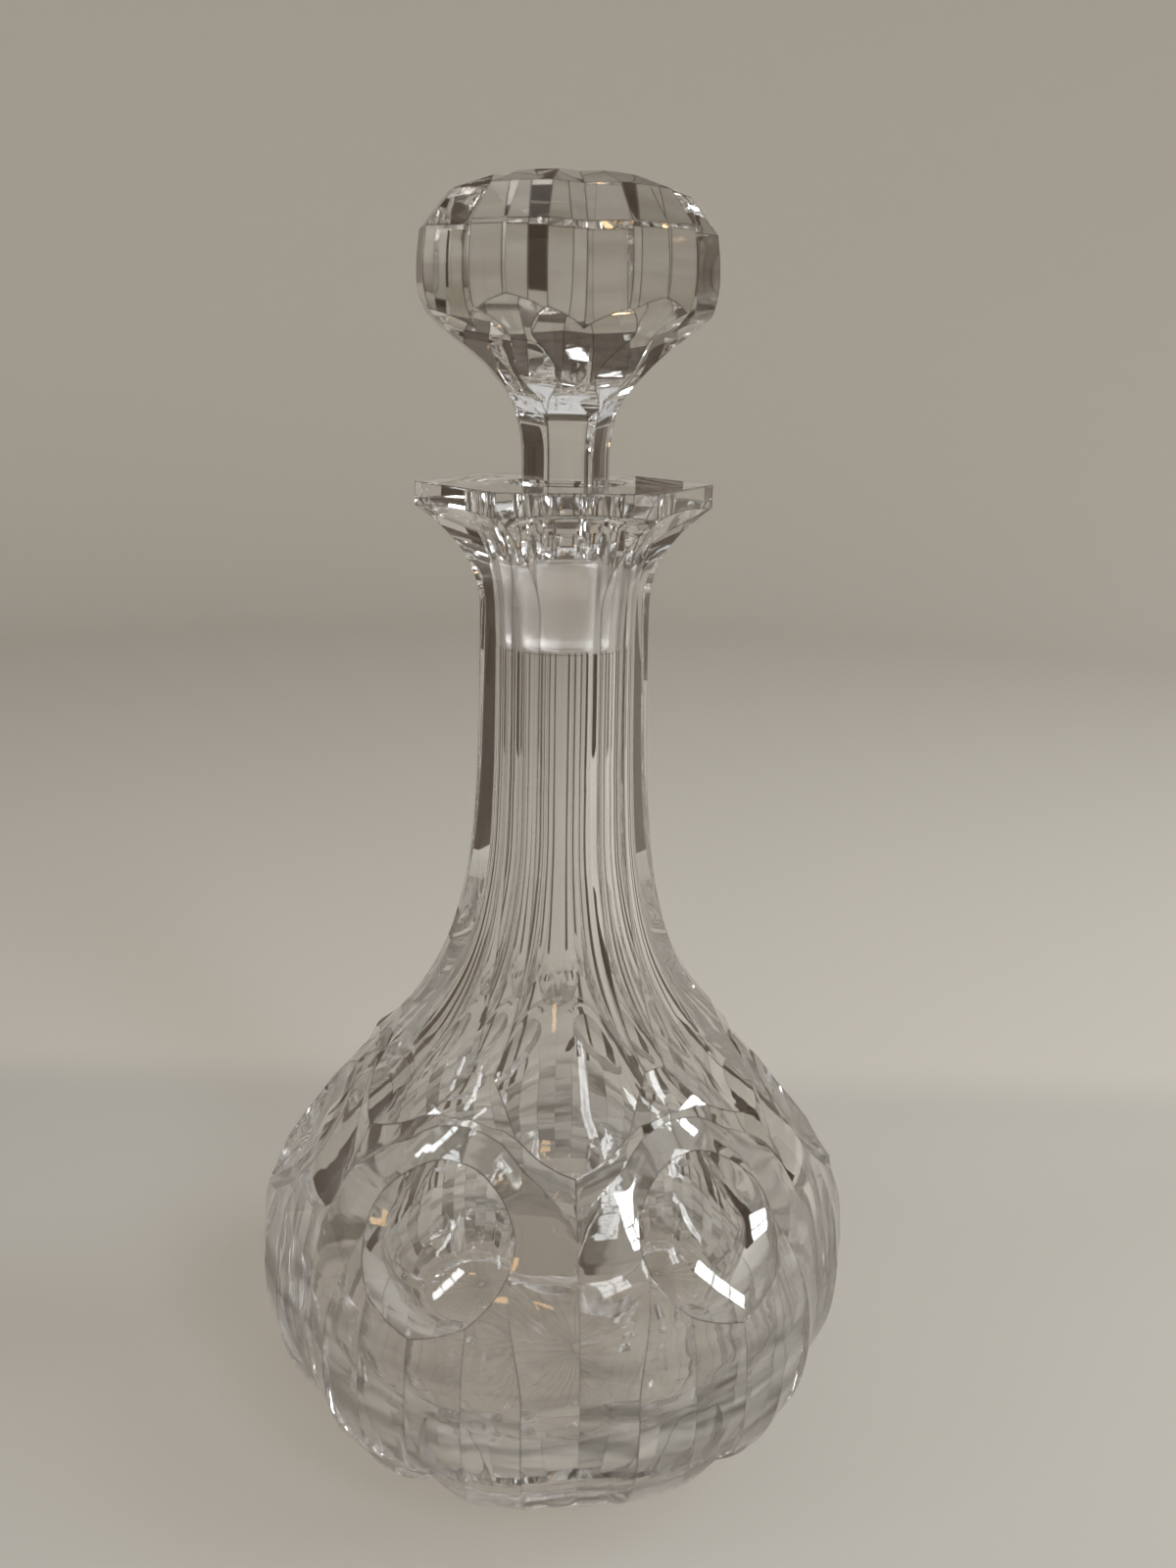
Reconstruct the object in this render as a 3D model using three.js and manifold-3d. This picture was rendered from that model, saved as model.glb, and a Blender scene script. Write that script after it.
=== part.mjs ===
import * as THREE from 'three';
import { mergeVertices } from 'three/addons/utils/BufferGeometryUtils.js';
import Module from 'manifold-3d';

// A six-lobed cut-glass decanter and its loose stopper, in millimetres, standing on z = 0.
// Bearings are in degrees from the front (-Y) towards +X. The front is a groove between two lobes.

const lobeCount = 6;
const flutesPerLobe = 6;

// Heights of the bottle, each measured from the one before it.
const bodyHeight = 84;
const shoulderHeight = 20.4;
const neckHeight = 119.1;
const lipThickness = 4.9;

// Body: radii of the lobes and of the grooves between them at the fullest height.
const waistHeight = 45;
const lobeRadius = 72.7;
const grooveRadius = 68.6;
const footRadius = 46;
const footRoundness = 2.7;
const fluteHollow = 0.15;
const fluteEnd = 75.8;

// Fall of the outline above the waist: [height above it, fall over a lobe, fall along a groove],
// and where the edges of half a lobe's flutes lie between the two.
const outlineStations = [
  [0, 0, 0], [14.8, 2.1, 3], [23.2, 6.2, 5.6], [30.9, 13.3, 10], [39.2, 22.2, 15.2],
  [52, 30.1, 20.6], [65.4, 33, 24],
];
const edgeShares = [0, 0.12, 0.35, 1];

// Arch over each lobe: its top and spring, how far under it the lobe swells and its flutes lean in.
const archTop = 94.5;
const archSpring = 78;
const archFoot = 60;
const archRoundness = 1.8;
const archSwell = 0.55;
const archReach = 20;
const archShift = 3.5;
const archShiftStart = 48;
const archShiftEnd = 75;

// Round hollow cut into the front of each lobe, between the two places where its rim crosses the middle.
const hollowTopRadius = 48.5;
const hollowTopHeight = 89.3;
const hollowFootRadius = 70.4;
const hollowFootHeight = 60;
const hollowDepth = 4.4;
const hollowStretch = 1.1;
const hollowNarrowing = 0.22;
const hollowOverlap = 4.2;

// Toe cut: the scoop under the middle of each lobe, sloping out and up from the base.
const toeRadius = 12;
const toeReach = 43.5;
const toeSlope = 46;

// Neck: six wide panels over the grooves and six narrow ones over the lobes, as distances from the axis.
const widePanel = { slim: 17.45, bell: 16.45, bellLength: 21.3, flare: 9.75, flarePower: 2.8 };
const narrowPanel = { slim: 18.4, bell: 19.2, bellLength: 19.9, flare: 13.9, flarePower: 2.5 };
const flareHeight = 23.5;
const panelHollow = 0.0045;
const lipRadius = 32.3;

// Facets over the lobes, under the corners of the shoulder: [depth, distance they slope out],
// and how far down they turn from flat to bulging.
const facetStations = [[0, 0], [5.3, 3], [12.2, 9.3], [15.1, 12.6], [20.4, 18.5], [25.5, 26]];
const facetBulge = -0.006;
const bulgeDepth = 12.2;

// Inside of the bottle.
const baseThickness = 13;
const cavityRadius = 60;
const boreRadius = 9.7;
const mouthRadius = 12;
const mouthDepth = 14;
const mouthEdge = 1.5;

// Stations of the inside: [share of its radius, height above the middle of its floor] for the belly,
// [share of its radius, height above the body's top] for the shoulder and
// [share of the bore's radius, height above the corners of the shoulder] for the throat.
const bellyStations = [[0, 0], [0.55, 1], [0.88, 9], [1, 30], [0.95, 47]];
const domeStations = [[0.77, -10], [0.59, 3], [0.39, 18.4]];
const throatStations = [[1.6, 14], [1.13, 34], [1, 60]];

// Base: a flat ring to stand on, whose inner rim slopes up to a raised middle with a star of V cuts.
const starRadius = 32;
const starRim = 5;
const starMiddle = 2.1;
const starRise = 1;
const starRays = 24;
const rayDepth = 0.7;

// Stopper: a ground plug, a six-sided stem and a head of six lobes.
const plugLength = 21;
const plugRadius = 10.4;
const plugTaper = 1.1;
const plugEdge = 0.8;
const plugShoulder = 1.2;
const seatGap = 0.3;
const stemHeight = 19.6;
const stemHollow = 0.006;
const petalHollow = 0.004;
const headFacets = 4;
const headGroove = 0.165;
const headReach = 60;
const stopperTurn = 3;

// Stations of the head as [height above the stem, distance from the axis]: the middle of a lobe,
// the six sides of the stem that open like a flower, and the six petals between them.
const headStations = [
  [6, 13.6], [12, 15], [16, 17.2], [20, 21.9], [24, 26.5], [28, 29.7], [33, 31.1],
  [38, 31.2], [44, 30.4], [48, 28.2], [51, 24.9], [53.2, 20.4], [54.6, 14.6], [55.3, 7],
];
const stemStations = [
  [0, 8.1], [4, 8.35], [9.5, 9.6], [12, 11], [14, 13], [16, 15], [20, 18.2],
  [24, 21.6], [26, 24.2], [30, 31], [34, 40],
];
const petalStations = [
  [0, 10.4], [4, 10.4], [10, 11.3], [14.2, 13.5], [18.2, 16.9], [21.7, 21], [24.4, 24.7],
  [27.5, 28], [31.2, 30.9], [35, 35], [39, 42],
];

// How far a body that is cut away or cut off reaches past the glass: along a face, and all round.
const overlap = 1;
const clearRadius = 110;

const sector = 360 / lobeCount;
const halfSector = sector / 2;
const shoulderTop = bodyHeight + shoulderHeight;
const lipUnder = shoulderTop + neckHeight;
const lipTop = lipUnder + lipThickness;
const flareStart = lipUnder - flareHeight;
const plugTop = lipTop - mouthDepth;
const plugFoot = plugTop - plugLength;
const headFoot = plugTop + stemHeight;

const wasm = await Module();
wasm.setup();

const radians = THREE.MathUtils.degToRad;
const cosine = (degrees) => Math.cos(radians(degrees));
const sine = (degrees) => Math.sin(radians(degrees));

function pointAt(bearing, radius, height) {
  return new THREE.Vector3(radius * sine(bearing), -radius * cosine(bearing), height);
}

// Even steps from one value to another, both ends included.
function steps(from, to, count) {
  return Array.from({ length: count + 1 }, (_, i) => from + ((to - from) * i) / count);
}

// Closed body through a stack of rings that all have the same number of points.
function loft(rings) {
  const count = rings[0].length;
  const positions = rings.flat().flatMap((point) => point.toArray());
  const indices = [];
  for (let k = 0; k + 1 < rings.length; k += 1) {
    for (let i = 0; i < count; i += 1) {
      const low = k * count + i;
      const lowNext = k * count + ((i + 1) % count);
      indices.push(low, lowNext, low + count);
      indices.push(lowNext, lowNext + count, low + count);
    }
  }
  for (const [ring, first] of [[rings[0], 0], [rings.at(-1), (rings.length - 1) * count]]) {
    const centre = positions.length / 3;
    const middle = ring.reduce((sum, point) => sum.add(point), new THREE.Vector3());
    positions.push(...middle.divideScalar(count).toArray());
    for (let i = 0; i < count; i += 1) {
      const here = first + i;
      const next = first + ((i + 1) % count);
      indices.push(centre, ...(first === 0 ? [next, here] : [here, next]));
    }
  }
  const geometry = new THREE.BufferGeometry();
  geometry.setAttribute('position', new THREE.Float32BufferAttribute(positions, 3));
  geometry.setIndex(indices);
  return geometry;
}

// Solid of revolution about the Z axis from a profile of radius and height.
function revolve(profile, segments) {
  const geometry = new THREE.LatheGeometry(profile, segments);
  geometry.rotateX(Math.PI / 2);
  return solid(geometry);
}

// Solid for adding and subtracting, from a closed three.js geometry.
function solid(geometry) {
  const bare = geometry.clone();
  for (const name of Object.keys(bare.attributes)) {
    if (name !== 'position') bare.deleteAttribute(name);
  }
  const merged = mergeVertices(bare, 1e-4);
  return new wasm.Manifold(new wasm.Mesh({
    numProp: 3,
    vertProperties: new Float32Array(merged.attributes.position.array),
    triVerts: new Uint32Array(merged.index.array),
  }));
}

function geometryOf(body) {
  const mesh = body.getMesh();
  const geometry = new THREE.BufferGeometry();
  geometry.setAttribute('position', new THREE.Float32BufferAttribute(mesh.vertProperties, 3));
  geometry.setIndex(Array.from(mesh.triVerts));
  return geometry;
}

// Radius, at an angle from the middle of a cut panel, of a panel that is hollow (or bulging) across.
function panelRadius(distance, hollow, angle) {
  const c = cosine(angle);
  const s = sine(angle);
  const root = Math.sqrt(Math.max(c * c - 4 * hollow * distance * s * s, 0));
  return (2 * distance) / (c + root);
}

// Six-sided body whose sides are cut panels, the first with its middle over the turn bearing.
// Each ring is a height, the distance of its sides from the axis and how hollow they are.
function panelBody(turn, rings, pieces) {
  return solid(loft(rings.map(({ height, distance, hollow }) => {
    const ring = [];
    for (let side = 0; side < lobeCount; side += 1) {
      for (let i = 0; i < pieces; i += 1) {
        const angle = -halfSector + (sector * i) / pieces;
        ring.push(pointAt(turn + side * sector + angle, panelRadius(distance, hollow, angle), height));
      }
    }
    return ring;
  })));
}

// Distance of a neck panel from the axis: slim, with a bell towards the shoulder and a flare to the lip.
function neckDistance(panel, height) {
  const bell = panel.bell * Math.exp((shoulderTop - height) / panel.bellLength);
  const rise = Math.max(height - flareStart, 0) / flareHeight;
  return panel.slim + bell + panel.flare * rise ** panel.flarePower;
}

// Smooth curves through a table whose first column is where and whose others are how much.
function curves(stations) {
  const values = stations.flatMap((row) => row.slice(1));
  return new THREE.CubicInterpolant(stations.map(([place]) => place), values, stations[0].length - 1);
}

const facetSlope = curves(facetStations);
const outline = curves(outlineStations);

// Distance of the facets over the lobes: the narrow panels, sloping out under the shoulder's corners.
function facetDistance(height) {
  if (height >= shoulderTop) return neckDistance(narrowPanel, height);
  return narrowPanel.slim + narrowPanel.bell + facetSlope.evaluate(shoulderTop - height)[0];
}

function facetHollow(height) {
  return facetBulge * THREE.MathUtils.smoothstep(shoulderTop - height, 0, bulgeDepth);
}

function wideHollow(height) {
  return panelHollow * THREE.MathUtils.smoothstep(height, flareStart - flareHeight, lipUnder);
}

// Two rings, from under the base up to a height, that are clear of the whole bottle.
function clearRings(top) {
  return [-overlap, top].map((height) => ({ height, distance: clearRadius, hollow: 0 }));
}

// Shoulder and neck inside one set of six panels; under the shoulder the body is clear of the lobes.
function neckBody(turn, distanceAt, hollowAt) {
  const shoulderStart = shoulderTop - facetStations.at(-1)[0];
  const heights = [
    ...steps(shoulderStart, shoulderTop, 5),
    ...steps(shoulderTop, flareStart, 8).slice(1),
    ...steps(flareStart, lipTop + overlap, 8).slice(1),
  ];
  const rings = heights.map((height) => ({
    height,
    distance: distanceAt(height),
    hollow: hollowAt(height),
  }));
  return panelBody(turn, [...clearRings(shoulderStart - overlap), ...rings], 4);
}

// Everything under the flare, and above it only what lies within the six-sided outline of the lip.
function lipBound() {
  const column = [flareStart, lipTop].map((height) => ({
    height,
    distance: lipRadius * cosine(halfSector),
    hollow: 0,
  }));
  return panelBody(0, column, 1).add(panelBody(0, clearRings(flareStart + overlap), 1));
}

// Radii of the edges between flutes, from the middle of a lobe to the groove.
function edgeRadii(height) {
  const rise = Math.min(Math.max(height - waistHeight, 0), shoulderTop - waistHeight);
  const [lobeFall, grooveFall] = outline.evaluate(rise);
  const drop = (Math.max(waistHeight - height, 0) / waistHeight) ** footRoundness;
  const inward = (radius) => radius - (radius - footRadius) * drop;
  const lobe = inward(lobeRadius - lobeFall);
  const groove = inward(grooveRadius - grooveFall);
  return edgeShares.map((share) => lobe + (groove - lobe) * share);
}

// Height of the arch over a lobe, by degrees away from the lobe's middle.
function archHeight(away) {
  const share = (away / halfSector) ** archRoundness;
  return archSpring + (archTop - archSpring) * Math.max(1 - share, 0) ** (1 / archRoundness);
}

// Swell of a lobe under its arch, which dies out towards the groove.
function archBulge(away, height) {
  const depth = Math.min(Math.max(archHeight(away) - height, 0), archReach);
  const inward = Math.min(((halfSector - away) * flutesPerLobe) / sector, 1);
  return archSwell * depth * (1 - depth / archReach) ** 2 * inward;
}

// Body of flutes whose upper rings rise from a level ring to the arches.
// Two points a flute: its edge, and its middle, which lies on the chord up to the hollows.
function lobedBody() {
  const top = waistHeight + outlineStations.at(-1)[0];
  const step = sector / flutesPerLobe;
  const edgeAt = (index) => Math.round(Math.abs(((index * step) % sector) - halfSector) / step);
  const rings = [
    ...[0, 0.09, 0.2, 0.33, 0.5, 0.7].map((share) => () => share * waistHeight),
    ...steps(waistHeight, archFoot, 2).map((height) => () => height),
    ...[0.22, 0.42, 0.6, 0.75, 0.88, 1].map((share) => (arch) => archFoot + (arch - archFoot) * share),
    ...[0.14, 0.28, 0.42, 0.56, 0.75, 1].map((share) => (arch) => arch + (top - arch) * share),
    () => lipTop + overlap,
  ];
  return solid(loft(rings.map((heightAt) => {
    const ring = [];
    for (let i = 0; i < 2 * lobeCount * flutesPerLobe; i += 1) {
      const bearing = (i * step) / 2;
      const away = Math.abs((bearing % sector) - halfSector);
      const height = heightAt(archHeight(away));
      const radii = edgeRadii(height);
      const flute = Math.floor(i / 2);
      const mean = (radii[edgeAt(flute)] + radii[edgeAt((i + 1) >> 1)]) / 2;
      const fade = THREE.MathUtils.smoothstep(height, archFoot, fluteEnd);
      const middle = mean * (fade + (1 - fade) * cosine(step / 2)) - (1 - fade) * fluteHollow;
      const shift = Math.max(1 - Math.abs(away - 2 * step) / step, 0)
        * THREE.MathUtils.smoothstep(height, archShiftStart, archShiftEnd) * archShift;
      ring.push(pointAt(
        bearing + Math.sign(halfSector - (bearing % sector)) * shift,
        (i % 2 ? middle : mean) + archBulge(away, height),
        height,
      ));
    }
    return ring;
  })));
}

// Bowl-shaped tool that cuts the round hollow of the lobe at this bearing.
function hollowTool(bearing) {
  const across = hollowFootRadius - hollowTopRadius;
  const up = hollowTopHeight - hollowFootHeight;
  const half = Math.hypot(across, up) / 2;
  const wheel = (half * half + hollowDepth * hollowDepth) / (2 * hollowDepth);
  const reach = Math.acos(1 - (hollowDepth + hollowOverlap) / wheel);
  const profile = steps(0, reach, 5).map(
    (angle) => new THREE.Vector2(wheel * Math.sin(angle), wheel * (1 - Math.cos(angle)) - hollowDepth),
  );
  profile.push(new THREE.Vector2(0, profile.at(-1).y));
  const tool = new THREE.LatheGeometry(profile, 28);
  const places = tool.attributes.position;
  for (let i = 0; i < places.count; i += 1) {
    const low = Math.min(Math.max(-places.getZ(i) / half, 0), 1);
    places.setX(i, places.getX(i) * hollowStretch * (1 - hollowNarrowing * low));
  }
  tool.rotateX(Math.PI - Math.atan2(across, up));
  tool.translate(0, -(hollowFootRadius + hollowTopRadius) / 2, (hollowFootHeight + hollowTopHeight) / 2);
  tool.rotateZ(radians(bearing));
  return solid(tool);
}

// Round bar that scoops the toe of the lobe at this bearing.
function toeTool(bearing) {
  const tool = new THREE.CylinderGeometry(toeRadius, toeRadius, lobeRadius, 24);
  tool.translate(toeRadius, 0, 0);
  tool.rotateZ(radians(toeSlope - 90));
  tool.rotateX(Math.PI / 2);
  tool.rotateZ(-Math.PI / 2);
  tool.translate(0, -toeReach, 0);
  tool.rotateZ(radians(bearing));
  return solid(tool);
}

// Everything hollow inside: the blown cavity, the bore of the neck, the ground seat and the mouth.
function cavity() {
  const wall = new THREE.SplineCurve([
    ...bellyStations.map(([share, rise]) => [cavityRadius * share, baseThickness + rise]),
    ...domeStations.map(([share, rise]) => [cavityRadius * share, bodyHeight + rise]),
    ...throatStations.map(([share, rise]) => [boreRadius * share, shoulderTop + rise]),
  ].map(([radius, height]) => new THREE.Vector2(radius, height)));
  return revolve([
    ...wall.getPoints(20),
    new THREE.Vector2(boreRadius, plugFoot - seatGap),
    new THREE.Vector2(plugRadius - plugTaper + seatGap, plugFoot - seatGap),
    new THREE.Vector2(plugRadius + seatGap, plugTop),
    new THREE.Vector2(mouthRadius, lipTop - mouthEdge),
    new THREE.Vector2(mouthRadius + mouthEdge, lipTop),
    new THREE.Vector2(mouthRadius + mouthEdge, lipTop + overlap),
    new THREE.Vector2(0, lipTop + overlap),
  ], 30);
}

// Tool for the base: its upper face is folded into rays that deepen from the middle to the rim.
function starTool() {
  const count = 2 * starRays;
  const ringAt = (radius, heightAt) => Array.from({ length: count }, (_, i) => (
    pointAt((i * 360) / count, radius, heightAt(i))
  ));
  return solid(loft([
    ringAt(starRadius + 2 * starRim, () => -starRise),
    ringAt(starRadius, (i) => starRise + (i % 2) * rayDepth),
    ringAt(starMiddle, () => starRise),
  ]));
}

function bottleBody() {
  let body = lobedBody()
    .intersect(neckBody(0, (height) => neckDistance(widePanel, height), wideHollow))
    .intersect(neckBody(halfSector, facetDistance, facetHollow))
    .intersect(lipBound());
  for (let i = 0; i < lobeCount; i += 1) {
    const bearing = halfSector + i * sector;
    body = body.subtract(hollowTool(bearing)).subtract(toeTool(bearing));
  }
  return body.subtract(cavity()).subtract(starTool());
}

// Head of flat facets, with a groove drawn in between the lobes.
function headBody() {
  const step = sector / headFacets;
  const outlinePoints = new THREE.SplineCurve(
    headStations.map(([rise, radius]) => new THREE.Vector2(radius, headFoot + rise)),
  ).getPoints(18);
  const rings = [new THREE.Vector2(headStations[0][1], plugTop), ...outlinePoints];
  return solid(loft(rings.map(({ x: radius, y: height }) => {
    const ring = [];
    for (let i = 0; i < lobeCount * headFacets; i += 1) {
      const groove = i % headFacets === 0 ? headGroove * radius : 0;
      ring.push(pointAt(stopperTurn + i * step, radius - groove, height));
    }
    return ring;
  })));
}

// Six hollow-cut panels that open upwards from the slim stem by their stations.
function flowerBody(turn, stations, hollow) {
  const [slim, wide] = [stations[0][1], stations.at(-1)[1]];
  const rings = stations.map(([rise, distance]) => ({ height: headFoot + rise, distance, hollow }));
  return panelBody(turn, [
    { height: plugTop, distance: slim, hollow },
    ...rings,
    { height: headFoot + headReach, distance: wide, hollow },
  ], 3);
}

function stopperBody() {
  return headBody()
    .intersect(flowerBody(stopperTurn, stemStations, stemHollow))
    .intersect(flowerBody(stopperTurn + halfSector, petalStations, petalHollow))
    .add(plugBody());
}

function plugBody() {
  return revolve([
    new THREE.Vector2(0, plugFoot),
    new THREE.Vector2(plugRadius - plugTaper - plugEdge, plugFoot),
    new THREE.Vector2(plugRadius - plugTaper, plugFoot + plugEdge),
    new THREE.Vector2(plugRadius, plugTop),
    new THREE.Vector2(plugRadius - plugEdge, plugTop + plugShoulder),
    new THREE.Vector2(0, plugTop + plugShoulder),
  ], 36);
}

function glassPart(name, body) {
  const glass = new THREE.MeshStandardMaterial({ color: 0xe6e1e0, roughness: 0.03, metalness: 0 });
  const part = new THREE.Mesh(geometryOf(body), glass);
  part.name = name;
  return part;
}

const decanter = new THREE.Group();
decanter.add(glassPart('decanter_bottle', bottleBody()));
decanter.add(glassPart('stopper', stopperBody()));
export default decanter;
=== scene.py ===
"""A six-lobed cut-glass decanter and its loose stopper, dressed in glass on a pale studio floor."""

import logging
import math
from dataclasses import dataclass
from enum import Enum
from functools import cache
from typing import Callable

import bpy
import numpy as np
from mathutils import Matrix
from numpy.typing import NDArray


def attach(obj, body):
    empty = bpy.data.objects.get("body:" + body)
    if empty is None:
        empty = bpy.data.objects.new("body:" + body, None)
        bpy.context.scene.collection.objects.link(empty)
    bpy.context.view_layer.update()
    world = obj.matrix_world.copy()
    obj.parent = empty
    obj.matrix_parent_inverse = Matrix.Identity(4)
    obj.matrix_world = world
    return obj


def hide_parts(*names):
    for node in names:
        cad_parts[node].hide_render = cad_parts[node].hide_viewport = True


Array = NDArray[np.float64]
Colour = tuple[float, float, float]
Place = tuple[float, float, float]
Stations = tuple[tuple[float, float], ...]
Object = bpy.types.Object
Socket = bpy.types.NodeSocket
Tree = bpy.types.NodeTree

MM = 0.001
LOBES = 6
SECTOR = 360.0 / LOBES
HALF_SECTOR = SECTOR / 2
CREASE = 6.0

log = logging.getLogger("decanter")
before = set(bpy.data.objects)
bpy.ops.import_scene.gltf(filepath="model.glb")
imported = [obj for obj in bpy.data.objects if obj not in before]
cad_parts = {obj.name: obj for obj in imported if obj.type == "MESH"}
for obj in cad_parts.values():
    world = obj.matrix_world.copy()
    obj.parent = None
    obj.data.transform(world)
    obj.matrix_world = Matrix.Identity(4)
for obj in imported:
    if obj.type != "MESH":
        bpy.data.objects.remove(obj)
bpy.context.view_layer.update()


class Cut(Enum):
    """How a tool changes the glass it meets."""

    KEEP_INSIDE = "INTERSECT"
    TAKE_AWAY = "DIFFERENCE"
    JOIN = "UNION"


# Surfaces


def smoothstep(value: Array, low: float, high: float) -> Array:
    """A ramp from 0 at low to 1 at high with level ends, 3t^2 - 2t^3.

    Args:
        value: Where the ramp is read.
        low: Value at which it leaves 0.
        high: Value at which it reaches 1.

    Returns:
        The ramp at each value.
    """
    share = np.clip((np.asarray(value, float) - low) / (high - low), 0.0, 1.0)
    return share * share * (3.0 - 2.0 * share)


def spline(stations: Array, values: Array, at: Array) -> Array:
    """A smooth curve through stations: cubic pieces whose slopes are those of the chords around each.

    Args:
        stations: Rising places, one a station.
        values: The value at each station.
        at: Where the curve is read. Outside the stations it holds its end value.

    Returns:
        The curve's value at each place.
    """
    slopes = np.gradient(values, stations)
    at = np.clip(at, stations[0], stations[-1])
    k = np.clip(np.searchsorted(stations, at, side="right") - 1, 0, len(stations) - 2)
    width = stations[k + 1] - stations[k]
    t = (at - stations[k]) / width
    return (
        values[k] * (1 + 2 * t) * (1 - t) ** 2
        + slopes[k] * width * t * (1 - t) ** 2
        + values[k + 1] * t * t * (3 - 2 * t)
        + slopes[k + 1] * width * t * t * (t - 1)
    )


def ring_points(bearing: Array, radius: Array, height: Array) -> Array:
    """Points at bearings from the front (-Y) towards +X: (r sin b, -r cos b, z).

    Args:
        bearing: Degrees, any shape that broadcasts with the others.
        radius: Distance from the axis in millimetres.
        height: Height in millimetres.

    Returns:
        The points in metres, with x, y and z in the last axis.
    """
    bearing, radius, height = np.broadcast_arrays(np.radians(bearing), radius, height)
    return np.stack((radius * np.sin(bearing), -radius * np.cos(bearing), height), axis=-1) * MM


def panel_radius(distance: Array, hollow: Array, angle: Array) -> Array:
    """Radius of a cut panel seen at an angle from its middle, where y = d + h x^2 is the panel's line.

    Args:
        distance: Distance d of the panel's middle from the axis.
        hollow: How hollow h the panel is across, negative where it bulges.
        angle: Degrees from the panel's middle.

    Returns:
        The radius 2d / (c + sqrt(c^2 - 4 h d s^2)), for the cosine c and sine s of the angle.
    """
    c = np.cos(np.radians(angle))
    s = np.sin(np.radians(angle))
    return 2 * distance / (c + np.sqrt(np.maximum(c * c - 4 * hollow * distance * s * s, 0)))


def turned_out(bearing: float, radial: Array, lateral: Array, height: Array) -> Array:
    """Points at a distance out along a bearing b: (r sin b + l cos b, l sin b - r cos b, z).

    Args:
        bearing: Degrees from the front towards +X.
        radial: Distance r along the bearing in millimetres.
        lateral: Distance l across it in millimetres.
        height: Height in millimetres.

    Returns:
        The points in metres, with x, y and z in the last axis.
    """
    turn = math.radians(bearing)
    return np.stack((
        radial * math.sin(turn) + lateral * math.cos(turn),
        -radial * math.cos(turn) + lateral * math.sin(turn),
        height,
    ), axis=-1) * MM


def ring_quads(stack: int, count: int) -> Array:
    """Corners of the faces between neighbouring rings of points.

    Args:
        stack: Number of rings.
        count: Number of points in each ring.

    Returns:
        Four point numbers a face, shape (faces, 4).
    """
    k, i = np.meshgrid(np.arange(stack - 1), np.arange(count), indexing="ij")
    low, low_next = k * count + i, k * count + (i + 1) % count
    return np.stack((low, low_next, low_next + count, low + count), axis=-1).reshape(-1, 4)


def place_object(name: str, data: bpy.types.ID) -> Object:
    """A new object in the scene.

    Args:
        name: Name of the object.
        data: The mesh, light or camera that it shows.

    Returns:
        The object.
    """
    piece = bpy.data.objects.new(name, data)
    bpy.context.scene.collection.objects.link(piece)
    return piece


def closed_loft(name: str, rings: Array) -> Object:
    """A closed body through a stack of rings, with a fan of faces over its first and last ring.

    Args:
        name: Name of the new object.
        rings: Points in metres, shape (rings, points in a ring, 3), lowest ring first.

    Returns:
        The object, linked to the scene.
    """
    stack, count, _ = rings.shape
    around = np.arange(count)
    turned = (around + 1) % count
    foot, top = stack * count, stack * count + 1
    lid = (stack - 1) * count
    fans = np.concatenate((
        np.stack((np.full(count, foot), turned, around), axis=-1),
        np.stack((np.full(count, top), lid + around, lid + turned), axis=-1),
    ))
    points = np.concatenate((rings.reshape(-1, 3), rings[:1].mean(axis=1), rings[-1:].mean(axis=1)))
    mesh = bpy.data.meshes.new(name)
    mesh.from_pydata(points, [], ring_quads(stack, count).tolist() + fans.tolist())
    mesh.validate()
    return place_object(name, mesh)


def turned_body(name: str, profile: Array, segments: int) -> Object:
    """A body of revolution about the Z axis.

    Args:
        name: Name of the new object.
        profile: Radius and height in millimetres, lowest first, shape (points, 2).
        segments: Number of points round each ring.

    Returns:
        The closed object.
    """
    bearings = np.arange(segments) * 360.0 / segments
    return closed_loft(name, ring_points(bearings[None, :], profile[:, :1], profile[:, 1:]))


def cut_glass(glass: Object, tool: Object, cut: Cut) -> None:
    """Cuts, trims or joins two closed bodies, and takes the tool out of the scene.

    Args:
        glass: The body that is changed.
        tool: The body that changes it.
        cut: What the tool does.
    """
    change = glass.modifiers.new("cut", "BOOLEAN")
    change.operation = cut.value
    change.solver = "MANIFOLD"
    change.object = tool
    depsgraph = bpy.context.evaluated_depsgraph_get()
    done = bpy.data.meshes.new_from_object(glass.evaluated_get(depsgraph))
    old = glass.data
    glass.modifiers.clear()
    glass.data = done
    bpy.data.meshes.remove(old)
    blank = tool.data
    bpy.data.objects.remove(tool)
    bpy.data.meshes.remove(blank)


def polish(glass: Object, crease: float) -> None:
    """Shades the cut faces smooth and keeps the edges where two cuts meet crisp.

    Args:
        glass: The finished body.
        crease: Degrees between faces above which an edge stays crisp.
    """
    mesh = glass.data
    mesh.shade_smooth()
    mesh.set_sharp_from_angle(angle=math.radians(crease))


# Finishes


def node_group(name: str, inputs: dict[str, float], outputs: list[str]) -> Tree:
    """A new shader node group that takes and gives plain numbers.

    Args:
        name: Name of the group.
        inputs: Name of each input and its value when nothing is linked.
        outputs: Names of the outputs.

    Returns:
        The group, with its Group Input and Group Output nodes in place.
    """
    group = bpy.data.node_groups.new(name, "ShaderNodeTree")
    for label, value in inputs.items():
        socket = group.interface.new_socket(label, in_out="INPUT", socket_type="NodeSocketFloat")
        socket.default_value = value
    for label in outputs:
        group.interface.new_socket(label, in_out="OUTPUT", socket_type="NodeSocketFloat")
    group.nodes.new("NodeGroupInput").name = "in"
    group.nodes.new("NodeGroupOutput").name = "out"
    return group


def feed(tree: Tree, socket: Socket, value: Socket | float | Colour) -> None:
    """Links an output to an input, or gives the input a plain number, colour or vector."""
    if isinstance(value, Socket):
        tree.links.new(value, socket)
    elif isinstance(value, tuple):
        socket.default_value = (*value, 1.0) if socket.type == "RGBA" else value
    else:
        socket.default_value = float(value)


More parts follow.
